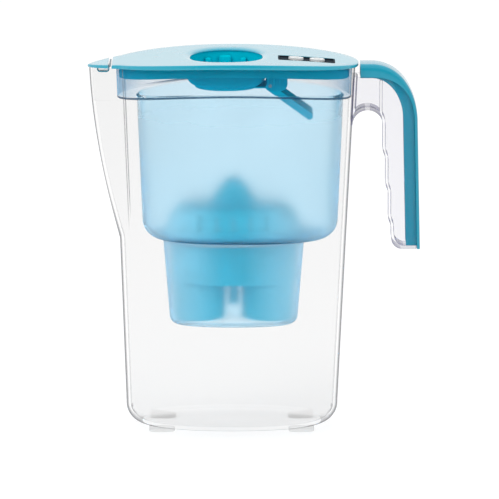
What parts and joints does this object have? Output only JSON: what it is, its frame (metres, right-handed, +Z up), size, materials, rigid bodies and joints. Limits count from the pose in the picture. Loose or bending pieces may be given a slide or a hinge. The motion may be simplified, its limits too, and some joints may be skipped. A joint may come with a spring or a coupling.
{
  "type": "water filter pitcher",
  "caption": "Oval water filter pitcher: clear jug with spout and bowed handle, hanging funnel with oval cartridge, arched lid with gravity fill flap, spout flap and turning date wheels.",
  "frame": {"origin": "on the table under the feet, midway between the spout's nose and the handle's back", "axes": "+X towards the handle, -X towards the spout, +Y across the pitcher (narrow way), +Z up"},
  "size_m": [0.2404, 0.1122, 0.2721],
  "materials": {
    "clear_jug": "clear, polished",
    "clear_feet": "clear, polished",
    "clear_handle": "clear, polished",
    "teal_cover": "smooth",
    "pale_blue_funnel": "tinted, see-through, polished",
    "teal_cartridge": "smooth, slightly milky",
    "seal": "soft ring",
    "screen": "fine mesh",
    "filling": "loose grains",
    "teal_lid": "smooth, polished",
    "teal_inner": "smooth",
    "hinge_pin": "fine wire",
    "dark_tray": "fine grain",
    "white_wheel": "fine grain"
  },
  "bodies": {
    "jug": {"jug_body": "clear_jug", "feet": "clear_feet", "handle_shell": "clear_handle", "handle_cover": "teal_cover"},
    "funnel": {"funnel": "pale_blue_funnel"},
    "cartridge": {"cartridge_cup": "teal_cartridge", "cartridge_cap": "teal_cartridge", "cartridge_seal": "seal", "inlet_screen": "screen", "filter_media": "filling", "outlet_screens": "screen"},
    "lid": {"lid_shell": "teal_lid", "lid_frame": "teal_inner", "fill_bowl": "teal_inner", "fill_flap_pin": "hinge_pin", "spout_flap_pin": "hinge_pin", "indicator_tray": "dark_tray", "wheel_pins": "white_wheel"},
    "fill_flap": {"fill_flap": "teal_inner"},
    "spout_flap": {"spout_flap": "teal_lid"},
    "day_wheel": {"day_wheel": "white_wheel"},
    "month_wheel": {"month_wheel": "white_wheel"}
  },
  "joints": [
    {"name": "funnel_lift", "type": "slide", "parent": "jug", "child": "funnel", "axis": [0, 0, 1], "range_m": [0, 0.2]},
    {"name": "cartridge_lift", "type": "slide", "parent": "funnel", "child": "cartridge", "axis": [0, 0, 1], "range_m": [0, 0.2]},
    {"name": "lid_lift", "type": "slide", "parent": "cartridge", "child": "lid", "axis": [0, 0, 1], "range_m": [0, 0.1]},
    {"name": "fill_flap_hinge", "type": "hinge", "parent": "lid", "child": "fill_flap", "pos_m": [0.01165, 0, 0.2518], "axis": [0, -1, 0], "range_deg": [0, 45]},
    {"name": "spout_flap_hinge", "type": "hinge", "parent": "lid", "child": "spout_flap", "pos_m": [-0.1039, 0, 0.26579], "axis": [0, 1, 0], "range_deg": [0, 80]},
    {"name": "day_wheel_turn", "type": "hinge", "parent": "lid", "child": "day_wheel", "pos_m": [0.03017, -0.011, 0.2708], "axis": [0.0652, 0, 0.9979], "continuous": true},
    {"name": "month_wheel_turn", "type": "hinge", "parent": "lid", "child": "month_wheel", "pos_m": [0.04543, -0.011, 0.2698], "axis": [0.0652, 0, 0.9979], "continuous": true}
  ]
}
